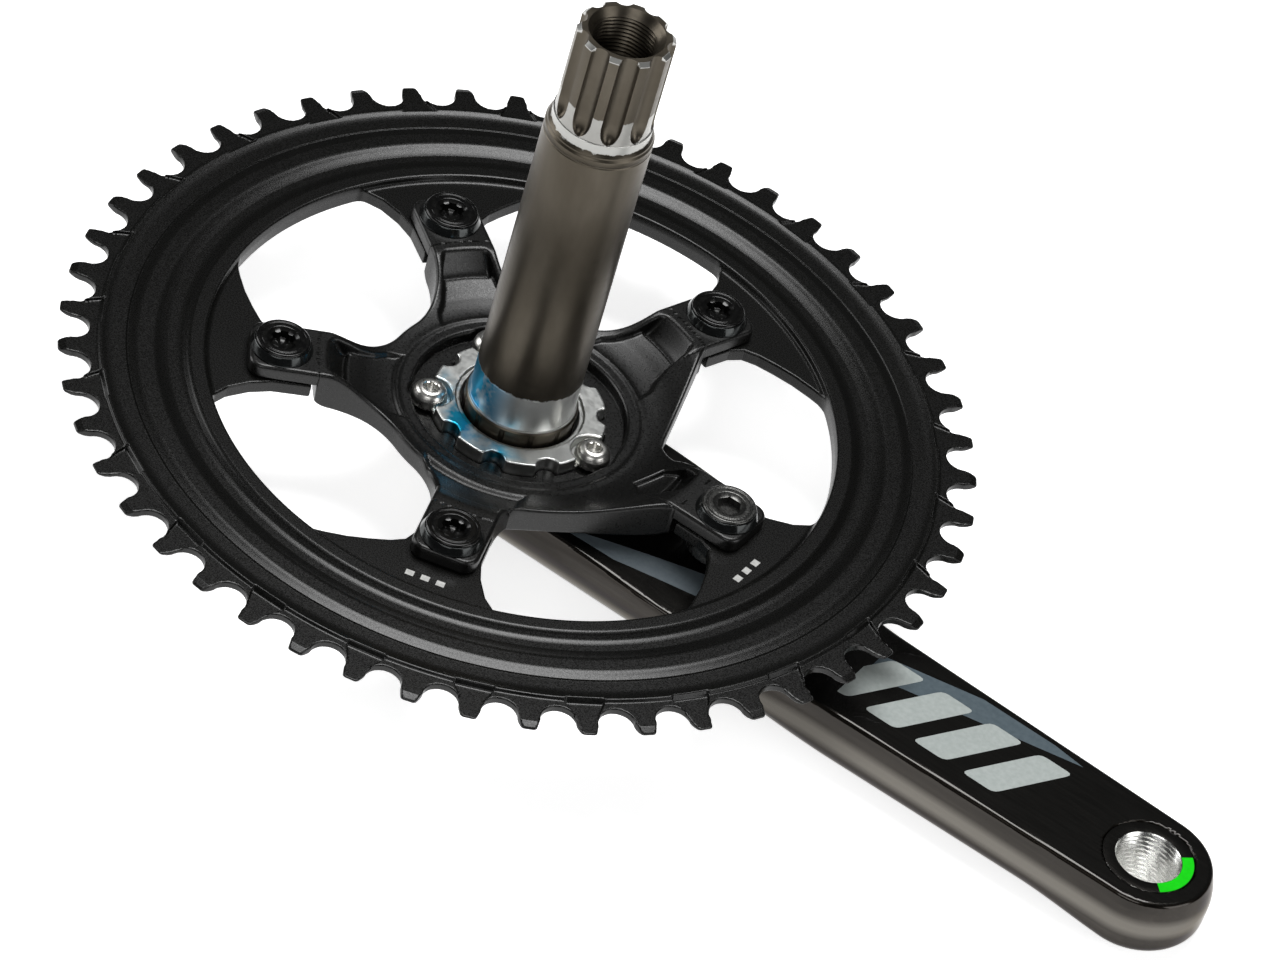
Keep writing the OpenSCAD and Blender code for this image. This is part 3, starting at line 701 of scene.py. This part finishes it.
def spider_field(x, y, z):
    r = np.hypot(x, y)
    u, v, k = fold(x, y, ARM_STEP)
    w = np.abs(v)
    pad = both(w - PAD_HALF, u - PAD_END, 3.4)
    pad = np.maximum(pad, 20 - u)
    arc = FILLET_R - np.hypot(u - ARC_X, w - ARC_Y)
    in_arc = (u < ARC_X) & (w * ARC_X < u * ARC_Y) & (w > PAD_HALF - 8) & (r > HUB_R - 6)
    plan = np.minimum(r - HUB_R, np.where(in_arc, np.maximum(arc, -3), pad))
    for web in WEBS:
        plan = np.minimum(plan, polygon(x, y, web))
    solid = both(plan, above(z, r, SPIDER_TOP), 0.9)
    solid = both(solid, above(-z, r, SPIDER_UNDER), 0.5)
    # pockets inside the raised lips
    usual = (k >= 1) & (k <= 3)
    pocket = np.where(usual, np.maximum(polygon(u, v, ARM_POCKET), 28.6 - r), 9.0)
    pocket = np.minimum(pocket, np.where(k == 4, np.maximum(polygon(u, v, CRESCENT), 31 - r), 9.0))
    pocket = np.minimum(pocket, np.where(k == 0, polygon(u, v, CRANK_POCKET), 9.0))
    solid = less(solid, both(pocket, -above(z, r, TUB), 0.8), np.where(k == 4, 1.7, 0.7))
    # bore, lobes, screw seats and bolt holes
    solid = less(solid, both(r - HUB_INNER, -6.0 - z, 0.3), 0.9)
    solid = less(solid, r - 19.95, 0.3)
    n_u, n_v, _ = fold(x, y, 2 * PI / 10)
    lobe = both(np.maximum(np.hypot(n_u - 20.4, n_v) - 2.65, r - 20.8), z + 6.0, 0.3)
    lobe = np.maximum(lobe, SPIDER_FLOOR - z)
    solid = np.minimum(solid, lobe)
    for a in SCREW_ANGLES:
        d = np.hypot(x - SCREW_AT * math.cos(a), y - SCREW_AT * math.sin(a))
        solid = less(solid, both(d - 5.0, -6.0 - z, 0.3), 0.4)
        solid = less(solid, d - 2.7, 0.2)
    return less(solid, np.hypot(u - BOLT_R, v) - 5.02, 0.3)


def build_spider():
    obj = sdf_object("spider_forged", spider_field, (-62.8, -62.8, -9.3), (62.8, 62.8, 4.3), 0.42, SPIDER)
    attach(obj, "crank")
    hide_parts("spider")


# ---------------------------------------------------------------- spider mount

def mount_field(x, y, z):
    r = np.hypot(x, y)
    u, v, _ = fold(x, y, 2 * PI / 10)
    plate = less(r - 19.8, np.hypot(u - 20.4, v) - 2.8, 0.4)
    plate = both(plate, z + 2.8, 0.35)
    plate = np.maximum(plate, SPIDER_FLOOR - 0.5 - z)
    flange = both(both(r - 24.5, z - SPIDER_FLOOR, 0.4), SPIDER_FLOOR - 4.1 - z, 0.4)
    body = both(both(r - 15.0, z - SPIDER_FLOOR, 0.4), -21.0 - z, 0.6)
    solid = np.minimum(np.minimum(plate, flange), body)
    solid = less(solid, both(r - 13.5, -12.0 - z, 0.3), 0.55)
    # a shallow turned step round the bore
    solid = less(solid, both(r - 14.6, -3.5 - z, 0.15), 0.2)
    solid = less(solid, r - 12.02, 0.2)
    for a in SCREW_ANGLES:
        d = np.hypot(x - SCREW_AT * math.cos(a), y - SCREW_AT * math.sin(a))
        solid = less(solid, both(d - 5.0, -5.4 - z, 0.3), 0.35)
        solid = less(solid, both(d - 2.5, -20.0 - z, 0.2), 0.2)
    return solid


def build_mount():
    obj = sdf_object("spider_mount_plate", mount_field, (-25.2, -25.2, -22.0), (25.2, 25.2, -2.0), 0.36,
                     PLATE)
    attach(obj, "crank")
    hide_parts("spider_mount")


# ---------------------------------------------------------------- crank arm

def ease(x, start, end):
    """0 before start, 1 after end, with its slope."""
    t = np.clip((x - start) / (end - start), 0, 1)
    return 0.5 - 0.5 * np.cos(PI * t), 0.5 * PI / (end - start) * np.sin(PI * t)


def face_level(x):
    t, slope = ease(x, 22.0, 100.0)
    return -9.3 - 5.4 * t, -5.4 * slope


def arm_solid(x, y, z):
    """Distance to the arm's outside, without its boss."""
    t, slope = ease(x, 45.0, 100.0)
    far = np.clip((x - 100) / (PEDAL_X - 100), 0, 1)
    w = ROOT_R - (ROOT_R - 17.5) * t - 1.5 * far
    straight = (np.abs(y) - w) / np.sqrt(1 + ((ROOT_R - 17.5) * slope) ** 2)
    plan = np.where(x < 0, np.hypot(x, y) - ROOT_R,
                    np.where(x > PEDAL_X, np.hypot(x - PEDAL_X, y) - 16.0, straight))
    end, _ = ease(x, 50.0, 100.0)
    top, tilt = face_level(x)
    above_face = (z - top) / np.sqrt(1 + tilt * tilt)
    mid = (z - (top + ARM_BOTTOM) / 2) / ((top - ARM_BOTTOM) / 2)
    solid = both(plan + 0.5 * end * mid * mid, above_face, 0.5)
    bevel = 0.94 * (plan + 0.8 + 0.9 * end) + 0.34 * above_face
    solid = both(solid, bevel, 0.7)
    cap, _ = ease(x, 150.0, 178.0)
    return both(solid, ARM_BOTTOM - z, 19.5 - 12.0 * end - 3.3 * cap)


def arm_field(x, y, z):
    r = np.hypot(x, y)
    solid = arm_solid(x, y, z)
    boss = both(both(r - 26.5, z + 9.3, 0.8), -13.6 - z, 0.5)
    solid = either(solid, boss, 2.5)
    cavity = both(arm_solid(x, y, z) + 3.0, np.maximum(32.0 - x, x - 156.0), 1.5)
    solid = np.maximum(solid, -cavity)
    duct = np.maximum(np.hypot(y, z + 17.0) - 3.0, np.maximum(13.0 - x, x - 34.0))
    solid = np.maximum(solid, -duct)
    solid = less(solid, both(r - 24.55, SPIDER_FLOOR - 4.1 - z, 0.2), 0.4)
    solid = less(solid, both(r - 15.05, -22.2 - z, 0.2), 0.3)
    return less(solid, np.hypot(x - PEDAL_X, y) - 10.3, 0.12)


def draped(name, outline, lift, material):
    """A thin film of that convex outline that follows the slope of the arm's face."""
    x = np.array([p[0] for p in outline])
    y = np.array([p[1] for p in outline])
    stations = np.unique(np.concatenate([np.linspace(x.min(), x.max(), 40)[1:-1], x]))
    rows = []
    for s in stations:
        cuts = []
        for i in range(len(x)):
            j = (i + 1) % len(x)
            if x[i] == x[j]:
                if x[i] == s:
                    cuts += [y[i], y[j]]
            elif min(x[i], x[j]) <= s <= max(x[i], x[j]):
                cuts.append(y[i] + (y[j] - y[i]) * (s - x[i]) / (x[j] - x[i]))
        if max(cuts) - min(cuts) > 0.02:
            rows.append((s, min(cuts), max(cuts)))
    verts, faces = [], []
    for s, low, high in rows:
        level = float(face_level(np.array(s))[0])
        for z in (level - 0.02, level + lift):
            verts += [(s, low, z), (s, high, z)]
    last = len(rows) - 1
    for k in range(last):
        a, b = 4 * k, 4 * k + 4
        faces += [(a + 2, b + 2, b + 3, a + 3), (a, a + 1, b + 1, b), (a, b, b + 2, a + 2),
                  (a + 1, a + 3, b + 3, b + 1)]
    faces += [(0, 2, 3, 1), (4 * last, 4 * last + 1, 4 * last + 3, 4 * last + 2)]
    return make_object(name, np.array(verts), faces, material, sharp=30)


def arc_points(r, a0, a1, n=24):
    return [(PEDAL_X + r * math.cos(a0 + (a1 - a0) * i / n),
             r * math.sin(a0 + (a1 - a0) * i / n)) for i in range(n + 1)]


def build_arm():
    obj = sdf_object("crank_arm_carbon", arm_field, (-27.6, -27.6, -31.4), (189.6, 27.6, -8.4), 0.6, CARBON)
    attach(obj, "crank")
    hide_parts("arm_shell")
    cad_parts["arm_core"].data.materials.clear()
    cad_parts["arm_core"].data.materials.append(FOAM)

    # equal slanted bars and a slanted band stand for the printed graphics
    lean = 0.55
    def block(x0, x1, y0, y1):
        corners = [(x0 + lean * y0, y0), (x1 + lean * y0, y0), (x1 + lean * y1, y1), (x0 + lean * y1, y1)]
        return rounded(corners, 1.6, closed=True)
    blocks = [block(x, x + 8.5, -9.6, 8.4) for x in (95.5, 108.5, 121.5, 134.5)]
    grey = slab("arm_print_blocks", blocks, ARM_FACE - 0.02, ARM_FACE + 0.03, PRINT_GREY)
    band = [[(92, 6.2), (95, -0.6), (148, 12.2), (140, 13.2), (121, 13.2)]]
    blue = slab("arm_print_band", band, ARM_FACE - 0.03, ARM_FACE + 0.015, PRINT_BLUE)
    root = draped("arm_root_stripe", [(25.4, -19.3), (40.1, -18.0), (60.5, -11.2), (57.3, -4.4)], 0.02,
                  PRINT_ROOT)
    for piece in (grey, blue, root):
        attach(piece, "crank")


def build_pedal_eye():
    top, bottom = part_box("pedal_insert")[1].z / MM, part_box("pedal_insert")[0].z / MM
    pitch = 1.27
    inner = [(7.5, top), (7.3, top - 0.25)]
    steps = int((top - bottom - 0.9) / (pitch / 16))
    inner += [(7.14, top - 0.3 - (i + 0.5) * (top - bottom - 0.75) / steps) for i in range(steps)]
    inner += [(7.3, bottom + 0.45), (7.75, bottom)]
    outer = rounded([(7.95, bottom), (10.28, bottom), (10.28, top), (7.6, top)], 0.2)
    profile = inner + outer

    def thread(r, z, angles, index):
        if r > 7.2:
            return np.full(len(angles), float(r))
        phase = np.mod(z / pitch - angles / (2 * PI), 1)
        return r + 0.42 * (1 - np.abs(2 * phase - 1))

    obj = lathe("pedal_thread_insert", profile[::-1], THREAD, 160, thread, closed=True, centre=(PEDAL_X, 0),
                sharp=50)
    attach(obj, "crank")
    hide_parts("pedal_insert")
    face = ARM_FACE - 0.3
    cover = [(7.5, face + 0.005), (10.28, face + 0.005), (10.28, face + 0.07), (7.5, face + 0.07)]
    ring = lathe("pedal_eye_cover", rounded(cover, 0.02, closed=True), CARBON, 128, closed=True,
                 centre=(PEDAL_X, 0))
    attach(ring, "crank")
    a = math.radians(45)
    outline = arc_points(10.14, -a, a) + arc_points(7.55, a, -a)
    mark = slab("length_mark_film", [outline], face + 0.06, face + 0.13, GREEN)
    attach(mark, "crank")
    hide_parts("length_sticker")


# ---------------------------------------------------------------- spindle

def build_spindle():
    n_flutes, flute_r, flute_at, flute_low = 10, 2.3, 11.2, SPINDLE_TOP - 20.4
    end_r, land_r, pitch = 11.0, 10.75, 1.0

    outer = [(9.0, -22), (12, -22), (12, -11.5), (12.8, -11.5), (12.8, -0.6), (12.3, -0.1), (12, -0.1)]
    outer += [(12, 8.9), (11.97, 9.1), (12, 9.3)]
    outer += [(12, SHOULDER - 3.3), (11.86, SHOULDER - 3.15), (11.86, SHOULDER - 2.85),
              (12, SHOULDER - 2.7)]
    outer += [(12, SHOULDER - 1.4), (11.6, SHOULDER - 0.9), (11.6, SHOULDER - 0.6), (end_r, SHOULDER)]
    outer = rounded(outer, 0.12)
    outer += [(end_r, SHOULDER + 1.2), (end_r, flute_low - flute_r - 0.1), (land_r, flute_low - flute_r)]
    outer += [(land_r, z) for z in np.arange(82.45, 86.2, 0.2)]
    outer += [(land_r, z) for z in np.linspace(86.6, SPINDLE_TOP - 0.7, 14)]
    outer += [(land_r - 0.4, SPINDLE_TOP - 0.35), (land_r - 0.8, SPINDLE_TOP), (8.9, SPINDLE_TOP),
              (8.5, SPINDLE_TOP)]
    # down the bore: a flare, then the thread
    inner = [(8.0, SPINDLE_TOP - 0.7), (7.5, SPINDLE_TOP - 1.5)]
    turns = np.arange(SPINDLE_TOP - 1.9, 79.0, -pitch / 7)
    inner += [(7.0, float(z)) for z in turns]
    inner += [(7.4, 78.4), (8.0, 76.5), (9.0, 75), (9.0, -21.99)]
    profile = outer + inner

    def shape(r, z, angles, index):
        rr = np.full(len(angles), float(r))
        if r == 7.0:
            phase = np.mod(z / pitch - angles / (2 * PI), 1)
            return rr + 0.36 * (1 - np.abs(2 * phase - 1)) ** 0.8
        if r == 12.8:
            a = np.mod(angles - math.radians(15) + math.radians(15), math.radians(30)) - math.radians(15)
            s = 13.2 * np.cos(a) - np.sqrt(np.maximum(0.64 - (13.2 * np.sin(a)) ** 2, 0))
            return np.where(13.2 * np.abs(np.sin(a)) < 0.8, np.minimum(rr, s), rr)
        if index < len(outer) and z > 82.0:
            taper = max(flute_low + 2.2 - z, 0) / (flute_r + 2.2)
            size = flute_r * math.sqrt(max(1 - taper**2, 0))
            if size > 0:
                step = 2 * PI / n_flutes
                a = np.mod(angles - math.radians(20) + step / 2, step) - step / 2
                side = flute_at * np.abs(np.sin(a))
                s = flute_at * np.cos(a) - np.sqrt(np.maximum(size**2 - side**2, 0))
                rr = np.where(side < size, np.minimum(rr, s), rr)
        return rr

    obj = lathe("spindle_fluted", profile, SPINDLE, 720, shape, closed=True, sharp=32)
    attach(obj, "crank")
    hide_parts("spindle")


# ---------------------------------------------------------------- fasteners

def star(radius, angles):
    """Radius of a six-lobed socket of that outer radius at the given angles."""
    c, q = radius * 1.06, radius * 0.26
    a = np.mod(angles, PI / 3) - PI / 6
    side = c * np.abs(np.sin(a))
    s = c * np.cos(a) - np.sqrt(np.maximum(q * q - side**2, 0))
    return np.where(side < q, np.minimum(radius, s), radius)


def hexagon(radius, angles):
    a = np.mod(angles, PI / 3) - PI / 6
    return radius * math.cos(PI / 6) / np.cos(a)


def build_bolts():
    top = 6.1
    for i in range(1, ARMS + 1):
        a = (i - 1) * ARM_STEP
        centre = (BOLT_R * math.cos(a), BOLT_R * math.sin(a))
        socket = 2.9
        form = hexagon if i == 1 else star
        outside = [(0, -4.2), (3.5, -4.2), (3.95, -3.8), (3.95, 3.2), (5.0, 3.2), (5.0, 5.5), (6.1, 5.5),
                   (6.1, 5.85),
                   (5.8, top), (5.25, top), (5.1, top - 0.13), (4.9, top - 0.13), (4.75, top), (3.75, top),
                   (3.2, top - 0.45)]
        outside = rounded(outside, 0.12)
        inside = [(socket + 0.02, top - 0.62), (socket, top - 0.7), (socket, top - 2.5),
                  (socket - 0.15, top - 2.6), (0, top - 2.6)]

        def shape(r, z, angles, index, form=form, first=len(outside)):
            if index < first or r < 0.1:
                return np.full(len(angles), float(r))
            return form(r, angles)

        bolt = lathe(f"ring_bolt_{i}", outside + inside, GUNMETAL if i == 1 else BOLT, 144, shape,
                     centre=centre,
                     sharp=35, turn=a + 0.35)
        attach(bolt, f"bolt_{i}")
        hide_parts(f"chainring_bolt_{i}")
        cone = rounded([(5.05, 3.5), (7.1, 3.5), (7.1, 3.75), (6.35, 5.3), (6.2, 5.45), (5.05, 5.45)], 0.12,
                       closed=True)
        collar = lathe(f"bolt_collar_ring_{i}", cone, COLLAR, 96, closed=True, centre=centre)
        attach(collar, f"collar_{i}")
        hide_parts(f"bolt_collar_{i}")


def build_nuts():
    def nut(name, i, flange, material):
        a = (i - 1) * ARM_STEP
        centre = (BOLT_R * math.cos(a), BOLT_R * math.sin(a))
        low = -TAB_T - flange
        profile = [(4.0, low), (6.2, low), (6.8, low + 0.6), (6.8, -TAB_T), (4.98, -TAB_T), (4.98, 2.6),
                   (4.0, 2.6)]
        return lathe(name, rounded(profile, 0.15, closed=True), material, 96, closed=True, centre=centre)

    pieces = [nut(f"ring_nut_{i}", i, 1.3, NUT) for i in range(2, ARMS + 1)]
    for piece in pieces:
        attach(piece, "crank")
    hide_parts("chainring_nuts")
    for piece in pieces[1:]:
        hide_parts("chainring_nuts")
    side = nut("arm_side_sleeve", 1, 4.3, GUNMETAL)
    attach(side, "crank")
    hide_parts("arm_side_nut")


def build_screws():
    seat, top = -5.35, -1.6
    for k, a in enumerate(SCREW_ANGLES):
        centre = (SCREW_AT * math.cos(a), SCREW_AT * math.sin(a))
        outside = [(0, -12), (2.1, -12), (2.45, -11.6), (2.45, seat), (4.1, seat), (4.1, top - 2.6),
                   (3.95, top - 1.7),
                   (3.7, top - 1.15), (3.35, top - 0.6), (2.9, top - 0.22), (2.4, top)]
        outside = rounded(outside, 0.12) + [(1.95, top), (1.8, top - 0.12)]
        inside = [(1.74, top - 0.2), (1.74, top - 1.5), (1.65, top - 1.6), (0, top - 1.6)]

        def shape(r, z, angles, index, first=len(outside)):
            if index < first or r < 0.1:
                return np.full(len(angles), float(r))
            return star(r, angles)

        piece = lathe(f"spider_screw_{k + 1}", outside + inside, SCREW, 96, shape, centre=centre, sharp=35,
                      turn=a + 0.2)
        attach(piece, "crank")
        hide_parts("spider_screws")


# ---------------------------------------------------------------- room and camera

def build_stage():
    floor_z = cad_low.z - 0.0003
    size, n = 3.0, 24
    xs = np.linspace(-size, size, n)
    verts = [(x / MM, y / MM, floor_z / MM) for x in xs for y in xs]
    faces = [(i * n + j, (i + 1) * n + j, (i + 1) * n + j + 1,
              i * n + j + 1) for i in range(n - 1) for j in range(n - 1)]
    m = Nodes("pale_floor", **{"Specular IOR Level": 0.2})
    m.set(m.shader, **{"Base Color": m.ramp(m.noise(3.0), (0.3, (0.90, 0.90, 0.90)),
                                            (0.7, (0.92, 0.92, 0.92)))})
    m.set(m.shader, Roughness=0.8, **{"Emission Color": (1, 1, 1, 1), "Emission Strength": 0.75})
    floor = make_object("floor", verts, faces, m.material)

    world = bpy.data.worlds.new("studio")
    bpy.context.scene.world = world
    world.use_nodes = True
    world.node_tree.nodes["Background"].inputs["Color"].default_value = (0.94, 0.97, 1.0, 1)
    world.node_tree.nodes["Background"].inputs["Strength"].default_value = 0.035
    bpy.context.scene.view_settings.view_transform = "Standard"


def softbox(name, place, target, width, height, power, colour=(1, 1, 1)):
    light = bpy.data.lights.new(name, "AREA")
    light.shape = "RECTANGLE"
    light.size, light.size_y = width, height
    light.energy = power
    light.color = colour
    obj = bpy.data.objects.new(name, light)
    obj.location = place
    obj.rotation_mode = "QUATERNION"
    obj.rotation_quaternion = (Vector(target) - Vector(place)).to_track_quat("-Z", "Y")
    bpy.context.scene.collection.objects.link(obj)
    return obj


def build_lights():
    centre = (0.04, 0, 0)
    softbox("overhead", (-0.08, 0.26, 1.05), centre, 0.60, 0.55, 11)
    softbox("front", (0.35, -1.15, 0.95), centre, 0.8, 0.6, 4)
    softbox("left_side", (-1.1, -0.30, 0.40), centre, 0.7, 0.75, 6)
    softbox("right_side", (1.2, 0.0, 0.40), centre, 0.7, 0.75, 4.5)


def build_camera():
    camera = bpy.data.cameras.new("camera")
    camera.sensor_width = 36
    camera.lens = 169.54
    camera.clip_start, camera.clip_end = 0.01, 20
    obj = bpy.data.objects.new("camera", camera)
    axes = ((0.80430, 0.55095, 0.22262), (-0.51817, 0.46689, 0.71660), (0.29088, -0.69171, 0.66100))
    turn = Matrix(axes).transposed().to_4x4()
    obj.matrix_world = Matrix.Translation((0.4196, -0.9193, 0.8759)) @ turn
    bpy.context.scene.collection.objects.link(obj)
    bpy.context.scene.camera = obj


build_camera()
build_stage()
build_lights()
build_chainring()
build_spider()
build_mount()
build_arm()
build_pedal_eye()
build_spindle()
build_bolts()
build_nuts()
build_screws()
